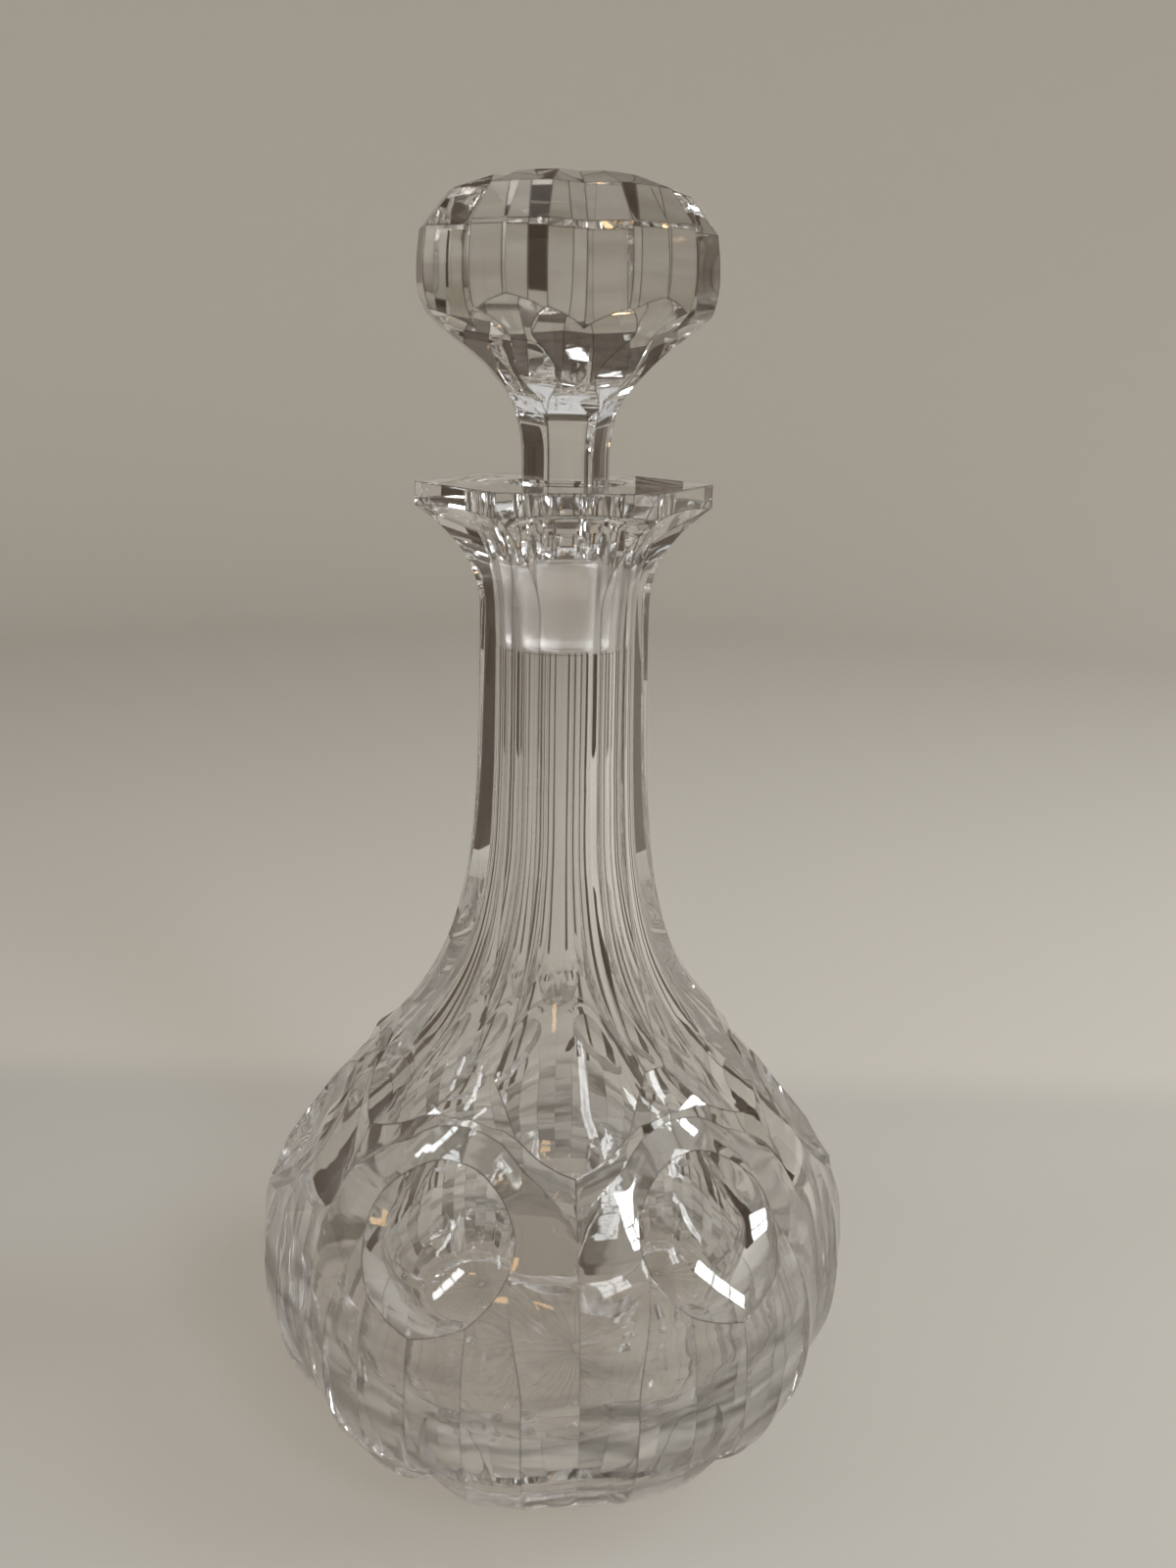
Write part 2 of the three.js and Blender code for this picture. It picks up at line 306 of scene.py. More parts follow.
def add_node(tree: Tree, kind: str, inputs: dict[str, Socket | float | Colour],
             group: Tree | None = None) -> bpy.types.Node:
    """A new shader node with its inputs fed.

    Args:
        tree: The tree it is added to.
        kind: Its kind, without the prefix that all shader nodes share.
        inputs: Name of each input to feed, and its value or socket.
        group: The group that it runs, for a group node.

    Returns:
        The node.
    """
    node = tree.nodes.new(f"ShaderNode{kind}")
    if group is not None:
        node.node_tree = group
    for label, value in inputs.items():
        feed(tree, node.inputs[label], value)
    return node


def math_node(tree: Tree, operation: str, *values: Socket | float) -> Socket:
    """A Math node whose inputs are numbers or sockets.

    Args:
        tree: The tree it is added to.
        operation: Its operation.
        values: A number or an output socket for each input.

    Returns:
        Its output.
    """
    node = tree.nodes.new("ShaderNodeMath")
    node.operation = operation
    for place, value in zip(node.inputs, values):
        feed(tree, place, value)
    return node.outputs[0]


def coordinates(tree: Tree) -> tuple[Socket, Socket, Socket, Socket]:
    """Object coordinates: the point itself, and its x, y and z."""
    point = add_node(tree, "TexCoord", {}).outputs["Object"]
    return point, *add_node(tree, "SeparateXYZ", {"Vector": point}).outputs


def from_axis(tree: Tree, x: Socket, y: Socket) -> Socket:
    """Distance from the upright axis."""
    squares = math_node(tree, "MULTIPLY", x, x), math_node(tree, "MULTIPLY", y, y)
    return math_node(tree, "SQRT", math_node(tree, "ADD", *squares))


def noise(tree: Tree, place: Socket, scale: float, detail: float, roughness: float = 0.5) -> Socket:
    """Soft noise between 0 and 1, with detail finer layers whose strength is its roughness."""
    inputs = {"Vector": place, "Scale": scale, "Detail": detail, "Roughness": roughness}
    return add_node(tree, "TexNoise", inputs).outputs["Fac"]


def ramp(tree: Tree, value: Socket, low: Socket | float, high: Socket | float,
         kind: str = "LINEAR") -> Socket:
    """A ramp from 0 at low to 1 at high, held beyond both. It falls where low is the greater.

    Args:
        tree: The tree it is added to.
        value: Where the ramp is read.
        low: Value at which it leaves 0.
        high: Value at which it reaches 1.
        kind: LINEAR, or SMOOTHSTEP for level ends.

    Returns:
        The ramp.
    """
    node = add_node(tree, "MapRange", {"Value": value, "From Min": low, "From Max": high})
    node.interpolation_type = kind
    return node.outputs[0]


def mixed(tree: Tree, share: Socket, first: Socket | Colour, second: Socket | Colour,
          kind: str = "MIX") -> Socket:
    """A mix of two colours.

    Args:
        tree: The tree it is added to.
        share: How much of the second there is.
        first: A colour or its socket.
        second: A colour or its socket.
        kind: How the second is laid over the first.

    Returns:
        The colour.
    """
    node = tree.nodes.new("ShaderNodeMix")
    node.data_type = "RGBA"
    node.blend_type = kind
    feed(tree, node.inputs["Factor"], share)
    feed(tree, node.inputs["A"], first)
    feed(tree, node.inputs["B"], second)
    return node.outputs["Result"]


@dataclass(frozen=True)
class HandlingMarks:
    """Faint smears, water spots and hair scratches on old glass, as a group for every glass."""

    smear_scale: float = 22.0
    smear_detail: float = 5.0
    smear_roughness: float = 0.62
    clean_below: float = 0.45
    smeared_above: float = 0.75
    scratch_scale: float = 260.0
    scratch_detail: float = 3.0

    @cache
    def group(self) -> Tree:
        """The group: it gives a mask of smears and a height of fine scratches."""
        tree = node_group("handling_marks", {}, ["Smears", "Height"])
        point, *_ = coordinates(tree)
        smears = noise(tree, point, self.smear_scale, self.smear_detail, self.smear_roughness)
        given = tree.nodes["out"].inputs
        feed(tree, given["Smears"], ramp(tree, smears, self.clean_below, self.smeared_above))
        feed(tree, given["Height"], noise(tree, point, self.scratch_scale, self.scratch_detail))
        return tree


@dataclass(frozen=True)
class BlownInside:
    """Slow ripples of the blown inner wall, which is told from the cut outside by its radius.

    The parting holds heights and radii, in millimetres, of a line between the two walls.
    """

    height: float = 230.0
    radius: float = 80.0
    parting: Stations = (
        (0, 0), (7, 0), (12, 48), (22, 59), (43, 65), (60, 61), (72, 51), (87, 41), (102, 28), (118, 21),
        (150, 14), (230, 14),
    )
    ripple: tuple[float, float, float] = (26.0, 26.0, 120.0)
    ripple_detail: float = 2.5
    rippled_to: float = 85.0
    level_from: float = 115.0

    def limit(self, tree: Tree, z: Socket) -> Socket:
        """Radius of the parting line.

        Args:
            tree: The group's tree.
            z: Height in metres.

        Returns:
            The radius in metres.
        """
        share = math_node(tree, "DIVIDE", z, self.height * MM)
        curve = add_node(tree, "FloatCurve", {"Value": share})
        points = curve.mapping.curves[0].points
        for _ in self.parting[2:]:
            points.new(0.5, 0.5)
        for point, (height, radius) in zip(points, self.parting):
            point.location = (height / self.height, radius / self.radius)
            point.handle_type = "VECTOR"
        curve.mapping.update()
        return math_node(tree, "MULTIPLY", curve.outputs[0], self.radius * MM)

    @cache
    def group(self) -> Tree:
        """The group: it gives a height that ripples on the inner wall, and a mask of the outside."""
        tree = node_group("blown_inside", {}, ["Height", "Outside"])
        point, x, y, z = coordinates(tree)
        inner = math_node(tree, "LESS_THAN", from_axis(tree, x, y), self.limit(tree, z))
        stretch = add_node(tree, "Mapping", {"Vector": point, "Scale": self.ripple})
        waves = noise(tree, stretch.outputs[0], 1.0, self.ripple_detail)
        calm = ramp(tree, z, self.level_from * MM, self.rippled_to * MM)
        waved = math_node(tree, "MULTIPLY", waves, calm)
        given = tree.nodes["out"].inputs
        feed(tree, given["Height"], math_node(tree, "MULTIPLY", waved, inner))
        feed(tree, given["Outside"], math_node(tree, "SUBTRACT", 1.0, inner))
        return tree


@dataclass(frozen=True)
class PaintedFaceShade:
    """Painted shade and painted reflections on each cut face round a body: a tone that differs from face to
    face, with streaks that end at its edges.
    """

    streaks: float = 170.0
    drift: float = 14.0
    jump: float = 3.7
    streak_detail: float = 2.0
    clear_below: float = 0.44
    streaked_above: float = 0.6
    streak_share: float = 0.55
    darkening_share: float = 0.45
    fade_share: float = 0.8

    @cache
    def group(self) -> Tree:
        """The group: it gives a painted shade for each face between two heights and nothing beyond them."""
        tree = node_group("face_shade_paint", {"Step": 10.0, "Turn": 0.0, "Low": 0.0, "High": 0.1}, ["Tone"])
        given = tree.nodes["in"].outputs
        _, x, y, z = coordinates(tree)
        front = math_node(tree, "MULTIPLY", y, -1.0)
        bearing = math_node(tree, "DEGREES", math_node(tree, "ARCTAN2", x, front))
        turned = math_node(tree, "SUBTRACT", bearing, given["Turn"])
        face = math_node(tree, "FLOOR", math_node(tree, "DIVIDE", turned, given["Step"]))
        face_darkening = tree.nodes.new("ShaderNodeTexWhiteNoise")
        face_darkening.noise_dimensions = "1D"
        tree.links.new(face, face_darkening.inputs["W"])
        place = add_node(tree, "CombineXYZ", {
            "X": math_node(tree, "MULTIPLY", face, self.jump),
            "Y": math_node(tree, "MULTIPLY", z, self.streaks),
            "Z": math_node(tree, "MULTIPLY", x, self.drift),
        })
        streak = ramp(tree, noise(tree, place.outputs[0], 1.0, self.streak_detail),
                      self.clear_below, self.streaked_above)
        # Painted shade and reflections: streaks plus a random darkening for each face.
        tone = math_node(tree, "MULTIPLY_ADD", streak, self.streak_share,
                         math_node(tree, "MULTIPLY", face_darkening.outputs["Value"], self.darkening_share))
        above = math_node(tree, "GREATER_THAN", z, given["Low"])
        fade_end = math_node(tree, "MULTIPLY", given["High"], self.fade_share)
        within = math_node(tree, "MULTIPLY", above, ramp(tree, z, given["High"], fade_end, "SMOOTHSTEP"))
        feed(tree, tree.nodes["out"].inputs["Tone"], math_node(tree, "MULTIPLY", tone, within))
        return tree


@dataclass(frozen=True)
class LeadGlass:
    """Old lead glass with a faint warm tint, ground dull where stopper and neck meet, with painted shade
    along its cut edges and on its cut faces.

    Heights and radii are in millimetres, and the turn of the cut faces is in degrees.
    """

    name: str
    ground_low: float
    ground_high: float
    ground_radius: float
    face_step: float
    face_turn: float
    face_low: float
    face_high: float
    # Colour of the painted shade and painted reflections on the cut faces.
    painted_face_shade: Colour
    tint: Colour = (0.98, 0.974, 0.97)
    # Colour of the painted shade that darkens the glass along its cut edges.
    painted_edge_shade: Colour = (0.06, 0.052, 0.04)
    ior: float = 1.54
    roughness: float = 0.012
    smear_roughness: float = 0.03
    ground_roughness: float = 0.25
    scratch_strength: float = 0.005
    scratch_height: float = 0.2
    edge_radius: float = 0.6
    edge_samples: int = 4
    edge_from: float = 0.9988
    edge_full: float = 0.982
    ripple_height: float = 0.35
    body_colour: Colour = (0.53, 0.49, 0.42)
    body_density: float = 1.6
    shade: Colour = (0.90, 0.885, 0.87)

    def dullness(self, tree: Tree, smears: Socket) -> Socket:
        """Roughness: that of the ground zone within its heights and radius, and of smears elsewhere.

        Args:
            tree: The material's tree.
            smears: Mask of the smears.

        Returns:
            The roughness.
        """
        _, x, y, z = coordinates(tree)
        inside = math_node(tree, "LESS_THAN", from_axis(tree, x, y), self.ground_radius * MM)
        above = math_node(tree, "GREATER_THAN", z, self.ground_low * MM)
        under = math_node(tree, "LESS_THAN", z, self.ground_high * MM)
        ground = math_node(tree, "MULTIPLY", inside, math_node(tree, "MULTIPLY", above, under))
        dull = math_node(tree, "MULTIPLY", ground, self.ground_roughness)
        smear = math_node(tree, "MULTIPLY_ADD", smears, self.smear_roughness, self.roughness)
        return math_node(tree, "MAXIMUM", dull, smear)

    def tone(self, tree: Tree, eased: Socket, outside: Socket) -> Socket:
        """Colour of the surface, with painted shade along cut edges and a painted shade and reflection tone
        on each cut face.

        Args:
            tree: The material's tree.
            eased: The normal that is rounded at edges.
            outside: Mask of the outer surface.

        Returns:
            The colour. An edge is where the rounded normal leaves the face's own.
        """
        level = tree.nodes.new("ShaderNodeVectorMath")
        level.operation = "DOT_PRODUCT"
        tree.links.new(eased, level.inputs[0])
        tree.links.new(tree.nodes.new("ShaderNodeNewGeometry").outputs["Normal"], level.inputs[1])
        # Mask of the painted edge shade: where the rounded normal leaves the face's own.
        edge = ramp(tree, level.outputs["Value"], self.edge_from, self.edge_full)
        faces = add_node(tree, "Group", {
            "Step": self.face_step, "Turn": self.face_turn,
            "Low": self.face_low * MM, "High": self.face_high * MM,
        }, PaintedFaceShade().group())
        face_darkening = math_node(tree, "MULTIPLY", faces.outputs["Tone"], outside)
        # Painted shade: darkened along cut edges, with each cut face's painted tone multiplied over it.
        return mixed(tree, face_darkening, mixed(tree, edge, self.tint, self.painted_edge_shade), self.painted_face_shade, "MULTIPLY")

    def relief(self, tree: Tree, eased: Socket, scratches: Socket, ripples: Socket) -> Socket:
        """The surface's normal, which all its relief goes into.

        Args:
            tree: The material's tree.
            eased: The normal that is rounded at edges.
            scratches: Height of the fine scratches.
            ripples: Height of the ripples on the inner wall.

        Returns:
            The normal.
        """
        fine = add_node(tree, "Bump", {
            "Strength": self.scratch_strength, "Distance": self.scratch_height * MM,
            "Height": scratches, "Normal": eased,
        })
        waves = {"Distance": self.ripple_height * MM, "Height": ripples, "Normal": fine.outputs[0]}
        return add_node(tree, "Bump", waves).outputs[0]

    def material(self) -> bpy.types.Material:
        """The glass: clear to the eye, and a plain tinted shade to shadow and diffuse rays.

        Returns:
            The material.
        """
        glass = bpy.data.materials.new(self.name)
        glass.use_nodes = True
        tree = glass.node_tree
        shader = tree.nodes["Principled BSDF"]
        shader.inputs["IOR"].default_value = self.ior
        shader.inputs["Transmission Weight"].default_value = 1.0
        marks = add_node(tree, "Group", {}, HandlingMarks().group())
        inside_wall = add_node(tree, "Group", {}, BlownInside().group())
        eased = add_node(tree, "Bevel", {"Radius": self.edge_radius * MM})
        eased.samples = self.edge_samples
        feed(tree, shader.inputs["Roughness"], self.dullness(tree, marks.outputs["Smears"]))
        feed(tree, shader.inputs["Base Color"],
             self.tone(tree, eased.outputs[0], inside_wall.outputs["Outside"]))
        feed(tree, shader.inputs["Normal"],
             self.relief(tree, eased.outputs[0], marks.outputs["Height"], inside_wall.outputs["Height"]))
        body = add_node(tree, "VolumeAbsorption", {"Color": self.body_colour, "Density": self.body_density})
        lit = add_node(tree, "BsdfTransparent", {"Color": self.shade})
        rays = tree.nodes.new("ShaderNodeLightPath")
        shaded = math_node(tree, "MAXIMUM", rays.outputs["Is Shadow Ray"], rays.outputs["Is Diffuse Ray"])
        mix = tree.nodes.new("ShaderNodeMixShader")
        tree.links.new(shaded, mix.inputs["Fac"])
        tree.links.new(shader.outputs[0], mix.inputs[1])
        tree.links.new(lit.outputs[0], mix.inputs[2])
        output = tree.nodes["Material Output"]
        tree.links.new(mix.outputs[0], output.inputs["Surface"])
        tree.links.new(body.outputs[0], output.inputs["Volume"])
        return glass


@dataclass(frozen=True)
class StudioFloor:
    """Pale, dull board with a barely seen grain, and a little paler towards the wall."""

    colour: Colour = (0.56, 0.53, 0.475)
    grain_share: float = 0.96
    grain_scale: float = 3.0
    grain_detail: float = 3.0
    roughness: float = 0.75
    wall_colour: Colour = (0.64, 0.60, 0.53)
    board_end: float = 152.0
    board_turn: float = 0.11
    blend: float = 40.0

    def material(self) -> bpy.types.Material:
        """The board's material."""
        board = bpy.data.materials.new("studio_floor")
        board.use_nodes = True
        tree = board.node_tree
        shader = tree.nodes["Principled BSDF"]
        shader.inputs["Roughness"].default_value = self.roughness
        point, x, y, _ = coordinates(tree)
        grain = noise(tree, point, self.grain_scale, self.grain_detail)
        darker = tuple(channel * self.grain_share for channel in self.colour)
        depth = math_node(tree, "MULTIPLY_ADD", x, self.board_turn, y)
        far = ramp(tree, depth, (self.board_end - self.blend / 2) * MM,
                   (self.board_end + self.blend / 2) * MM, "SMOOTHSTEP")
        tone = mixed(tree, grain, self.colour, darker)
        feed(tree, shader.inputs["Base Color"], mixed(tree, far, tone, self.wall_colour))
        return board


# The decanter


@dataclass(frozen=True)
class Panels:
    """One set of six cut panels of the neck: distances from the axis in millimetres."""

    slim: float
    bell: float
    bell_length: float
    flare: float
    flare_power: float


@dataclass
class Bottle:
    """The bottle: six fluted lobes with round hollows, a panelled neck and a flat lip.

    Stations are shares of the rise from waist to shoulder, and the falls are how far the outline
    has drawn in at each. The facet slope pairs shares of the shoulder's height with steps out.
    """

    body_height: float = 84.0
    shoulder_height: float = 20.4
    neck_height: float = 119.1
    lip_thickness: float = 4.9
    waist_height: float = 45.0
    lobe_radius: float = 72.7
    groove_radius: float = 68.6
    foot_radius: float = 46.0
    foot_roundness: float = 2.7
    flute_hollow: float = 0.15
    flutes: int = 6
    flute_pieces: int = 8
    stations: tuple[float, ...] = (0, 0.25, 0.39, 0.52, 0.66, 0.875, 1.1)
    lobe_falls: tuple[float, ...] = (0, 2.1, 6.2, 13.3, 22.2, 30.1, 33.0)
    groove_falls: tuple[float, ...] = (0, 3.0, 5.6, 10.0, 15.2, 20.6, 24.0)
    edge_shares: tuple[float, ...] = (0, 0.12, 0.35, 1.0)
    flat_from: float = 60.0
    shift_over: tuple[float, float] = (48.0, 75.0)
    fade_depth: float = 0.4
    levels: int = 1200
    body_rings: tuple[int, int, int, int] = (40, 14, 32, 16)
    neck_rings: tuple[int, int, int] = (24, 40, 28)
    panel_start: float = 1.2
    panel_clearance: float = 1.5
    lip_clearance: float = 1.7
    bulge_depth: float = 0.6
    arch_top: float = 94.5
    arch_spring: float = 78.0
    arch_foot: float = 60.0
    arch_roundness: float = 1.8
    arch_swell: float = 0.55
    arch_reach: float = 20.0
    arch_shift: float = 3.5
    hollow_top: tuple[float, float] = (48.5, 89.3)
    hollow_foot: tuple[float, float] = (70.4, 60.0)
    hollow_depth: float = 4.4
    hollow_stretch: float = 1.1
    hollow_narrowing: float = 0.22
    wheel_centre: float = 0.004
    wheel_past: float = 1.4
    wheel_rings: int = 26
    wheel_sides: int = 72
    toe_sides: int = 120
    toe_radius: float = 12.0
    toe_reach: float = 43.5
    toe_slope: float = 46.0
    wide: Panels = Panels(17.45, 16.45, 21.3, 9.75, 2.8)
    narrow: Panels = Panels(18.4, 19.2, 19.9, 13.9, 2.5)
    facet_slope: Stations = ((0, 0), (0.26, 3), (0.6, 9.3), (0.74, 12.6), (1, 18.5), (1.25, 26))
    panel_pieces: int = 14
    flare_height: float = 23.5
    panel_hollow: float = 0.0045
    shoulder_bulge: float = -0.006
    lip_radius: float = 32.3
    base_thickness: float = 13.0
    cavity_radius: float = 60.0
    cavity_rings: int = 110
    cavity_sides: int = 144
    bore_radius: float = 9.7
    mouth_radius: float = 12.0
    mouth_depth: float = 14.0
    mouth_edge: float = 1.5
    star_radius: float = 32.0
    star_rim: float = 5.0
    star_middle: float = 2.1
    star_rise: float = 1.0
    star_rays: int = 24
    ray_depth: float = 0.7
    plug_length: float = 21.0
    plug_radius: float = 10.4
    plug_taper: float = 1.1
    seat_gap: float = 0.3

    @property
    def shoulder_top(self) -> float:
        """Height of the corners where the neck meets the shoulder."""
        return self.body_height + self.shoulder_height

    @property
    def lip_under(self) -> float:
        """Height of the underside of the lip."""
        return self.shoulder_top + self.neck_height

    @property
    def lip_top(self) -> float:
        """Height of the top of the lip."""
        return self.lip_under + self.lip_thickness

    @property
    def flare_start(self) -> float:
        """Height at which the neck starts to open towards the lip."""
        return self.lip_under - self.flare_height

    @property
    def plug_top(self) -> float:
        """Height of the top of the ground seat."""
        return self.lip_top - self.mouth_depth

    @property
    def plug_foot(self) -> float:
        """Height of the foot of the ground seat."""
        return self.plug_top - self.plug_length

    def edge_radii(self, height: Array) -> Array:
        """Radii of the flute edges from the middle of a lobe to the groove.

        Above the waist the outline falls by a curve through stations; below it the radii
        shrink to the foot by ((waist - z) / waist) to the power of the foot's roundness.

        Args:
            height: Heights in millimetres, shape (rings,).

        Returns:
            Radii in millimetres, shape (rings, edges).
        """
        rise = self.shoulder_top - self.waist_height
        stations = self.waist_height + np.array(self.stations) * rise
        high = np.clip(height, self.waist_height, self.shoulder_top)
        lobe_fall = spline(stations, np.array(self.lobe_falls), high)
        groove_fall = spline(stations, np.array(self.groove_falls), high)
        drop = (np.maximum(self.waist_height - height, 0) / self.waist_height) ** self.foot_roundness
        lobe = self.lobe_radius - lobe_fall
        groove = self.groove_radius - groove_fall
        lobe = lobe - (lobe - self.foot_radius) * drop
        groove = groove - (groove - self.foot_radius) * drop
        return lobe[:, None] + (groove - lobe)[:, None] * np.array(self.edge_shares)

    def edge_radius(self, edge: Array, height: Array) -> Array:
        """Radius of numbered flute edges, read straight between close levels.

        Args:
            edge: Number of the edge that each column follows.
            height: Heights in millimetres, shape (rings, columns).

        Returns:
            Radii in millimetres, shape (rings, columns).
        """
        level = np.linspace(0, self.lip_top + 1, self.levels)
        radii = self.edge_radii(level)
        step = SECTOR / self.flutes
        rank = np.rint(np.abs((edge * step) % SECTOR - HALF_SECTOR) / step).astype(int)
        k = np.clip(np.searchsorted(level, height, side="right") - 1, 0, self.levels - 2)
        slope = (radii[k + 1, rank] - radii[k, rank]) / (level[k + 1] - level[k])
        return slope * (height - level[k]) + radii[k, rank]

    def arch(self, away: Array) -> Array:
        """Height of the arch over a lobe: spring + rise (1 - (a / 30)^n)^(1 / n), a superellipse.

        Args:
            away: Degrees a from the lobe's middle.

        Returns:
            Heights in millimetres.
        """
        share = np.clip(np.abs(away) / HALF_SECTOR, 0, 1) ** self.arch_roundness
        rise = self.arch_top - self.arch_spring
        return self.arch_spring + rise * (1 - share) ** (1 / self.arch_roundness)

    def lobes(self) -> Object:
        """The fluted body. Between two flute edges the radius follows their chord, a little hollow.

        The upper rings rise from a level ring to the arches over the lobes, and the lobes swell
        under their arch by s f (1 - f / reach)^2 at a depth f below it.

        Returns:
            The closed body, clear above the shoulder.
        """
        pieces = self.flute_pieces
        step = SECTOR / self.flutes
        index = np.arange(LOBES * self.flutes * pieces)
        flute, share = index // pieces, (index % pieces) / pieces
        bearing = index * step / pieces
        away = np.abs(bearing % SECTOR - HALF_SECTOR)[None, :]
        arch = self.arch(away)
        top = self.waist_height + self.stations[-1] * (self.shoulder_top - self.waist_height)
        toe, side, under, over = self.body_rings
        height = np.concatenate((
            np.linspace(0, self.waist_height, toe, endpoint=False)[:, None] + 0 * away,
            np.linspace(self.waist_height, self.arch_foot, side, endpoint=False)[:, None] + 0 * away,
            self.arch_foot + (arch - self.arch_foot) * np.linspace(0, 1, under, endpoint=False)[:, None],
            arch + (top - arch) * np.linspace(0, 1, over)[:, None],
            self.lip_top + 1 + 0 * away,
        ))
        here, there = self.edge_radius(flute, height), self.edge_radius(flute + 1, height)
        fade = smoothstep(height, self.flat_from, self.body_height - self.shoulder_height * self.fade_depth)
        smooth = here + (there - here) * share
        turned = (share - 0.5) * step
        chord = smooth * np.cos(np.radians(step / 2)) / np.cos(np.radians(turned))
        hollow = self.flute_hollow * 4 * share * (1 - share)
        radius = np.where(share == 0, here, chord + fade * (smooth - chord) - (1 - fade) * hollow)
        depth = np.clip(arch - height, 0, self.arch_reach)
        swell = self.arch_swell * depth * (1 - depth / self.arch_reach) ** 2
        radius = radius + swell * np.clip((HALF_SECTOR - away) / step, 0, 1)
        turn = np.sign(HALF_SECTOR - bearing % SECTOR)
        shift = np.clip(1 - np.abs(away - 2 * step) / step, 0, 1) * smoothstep(height, *self.shift_over)
        return closed_loft("lobes", ring_points(bearing + turn * shift * self.arch_shift, radius, height))

    def neck_distance(self, panel: Panels, height: Array) -> Array:
        """Distance of a panel from the axis: slim, plus an exponential bell below and a flare above.

        Args:
            panel: The set of panels.
            height: Heights in millimetres.

        Returns:
            Distances in millimetres.
        """
        bell = panel.bell * np.exp((self.shoulder_top - height) / panel.bell_length)
        rise = np.maximum(height - self.flare_start, 0) / self.flare_height
        return panel.slim + bell + panel.flare * rise ** panel.flare_power

    def facet_distance(self, height: Array) -> Array:
        """Distance of the panels over the lobes, which slope out below the shoulder's corners.

        Args:
            height: Heights in millimetres.

        Returns:
            Distances in millimetres.
        """
        down, out = np.array(self.facet_slope, float).T
        slope = spline(down * self.shoulder_height, out, self.shoulder_top - height)
        below = self.narrow.slim + self.narrow.bell + slope
        return np.where(height >= self.shoulder_top, self.neck_distance(self.narrow, height), below)

    def facet_hollow(self, height: Array) -> Array:
        """How hollow the panels over the lobes are: they bulge below the shoulder's corners."""
        down = self.shoulder_top - height
        return self.shoulder_bulge * smoothstep(down, 0, self.shoulder_height * self.bulge_depth)

    def wide_distance(self, height: Array) -> Array:
        """Distance of the panels between the lobes."""
        return self.neck_distance(self.wide, height)

    def wide_hollow(self, height: Array) -> Array:
        """How hollow the panels between the lobes are: more and more so towards the lip."""
        return self.panel_hollow * smoothstep(height, self.flare_start - self.flare_height, self.lip_under)

    def panelled(self, name: str, turn: float, distance: Callable[[Array], Array],
                 hollow: Callable[[Array], Array]) -> Object:
        """Six panels round the neck and shoulder, well clear of the lobes under them.

        Args:
            name: Name of the body.
            turn: Bearing of the middle of the first panel.
            distance: Distance of a panel from the axis at a height.
            hollow: How hollow a panel is across at a height.

        Returns:
            The closed body.
        """
        pieces = self.panel_pieces
        start = self.shoulder_top - self.shoulder_height * self.panel_start
        low, slim, flared = self.neck_rings
        height = np.concatenate((
            np.linspace(start, self.shoulder_top, low, endpoint=False),
            np.linspace(self.shoulder_top, self.flare_start, slim, endpoint=False),
            np.linspace(self.flare_start, self.lip_top + 1, flared),
        ))
        side = np.arange(LOBES * pieces)
        angle = -HALF_SECTOR + SECTOR * (side % pieces) / pieces
        radius = panel_radius(distance(height)[:, None], hollow(height)[:, None], angle[None, :])
        wide = panel_radius(np.full((2, 1), self.lobe_radius * self.panel_clearance), 0.0, angle[None, :])
        bearing = turn + (side // pieces) * SECTOR + angle
        rings = ring_points(bearing[None, :], np.concatenate((wide, radius)),
                            np.concatenate(([-1, start - 1], height))[:, None])
        return closed_loft(name, rings)

    def lip_bound(self) -> Object:
        """Everything under the flare, and above it the six-sided outline of the lip."""
        corner = np.arange(LOBES) * SECTOR + HALF_SECTOR
        clear = self.lobe_radius * self.lip_clearance
        radius = np.array([clear, clear, self.lip_radius, self.lip_radius])
        height = np.array([-1, self.flare_start, self.flare_start, self.lip_top])
        return closed_loft("lip_bound", ring_points(corner[None, :], radius[:, None], height[:, None]))

    def hollow_tool(self, bearing: float) -> Object:
        """A bowl-shaped tool: r sin a across and r (1 - cos a) - depth deep, tilted to the shoulder.

        Args:
            bearing: Bearing of the lobe that it cuts.

        Returns:
            The closed tool.
        """
        across = self.hollow_foot[0] - self.hollow_top[0]
        up = self.hollow_top[1] - self.hollow_foot[1]
        half = math.hypot(across, up) / 2
        wheel = (half ** 2 + self.hollow_depth ** 2) / (2 * self.hollow_depth)
        rim = math.asin(half / wheel) * self.wheel_past
        angle = np.linspace(self.wheel_centre, rim, self.wheel_rings)[:, None]
        around = np.radians(np.arange(self.wheel_sides) * -360.0 / self.wheel_sides)[None, :]
        lateral = wheel * np.sin(angle) * np.cos(around)
        along = wheel * np.sin(angle) * np.sin(around)
        narrowing = 1 - self.hollow_narrowing * np.clip(along / half, 0, 1)
        lateral = lateral * self.hollow_stretch * narrowing
        depth = wheel * (1 - np.cos(angle)) - self.hollow_depth + 0 * around
        down = np.array([across, -up]) / (2 * half)
        out = np.array([up, across]) / (2 * half)
        middle = (np.array(self.hollow_foot) + np.array(self.hollow_top)) / 2
        radial = middle[0] + along * down[0] + depth * out[0]
        height = middle[1] + along * down[1] + depth * out[1]
        return closed_loft("hollow_tool", turned_out(bearing, radial, lateral, height))

    def toe_tool(self, bearing: float) -> Object:
        """A round bar that lies along the slope of the toe and scoops the glass under a lobe.

        Args:
            bearing: Bearing of the lobe that it cuts.

        Returns:
            The closed tool.
        """
        slope = math.radians(self.toe_slope)
        along = np.linspace(-self.lobe_radius / 2, self.lobe_radius / 2, 2)[:, None]
        around = np.radians(np.arange(self.toe_sides) * -360.0 / self.toe_sides)[None, :]
        lateral = self.toe_radius * np.sin(around) + 0 * along
        inward = self.toe_radius * (1 - np.cos(around)) + 0 * along
        radial = self.toe_reach + along * math.cos(slope) + inward * math.sin(slope)
        height = along * math.sin(slope) - inward * math.cos(slope)
        return closed_loft("toe_tool", turned_out(bearing, radial, lateral, height))

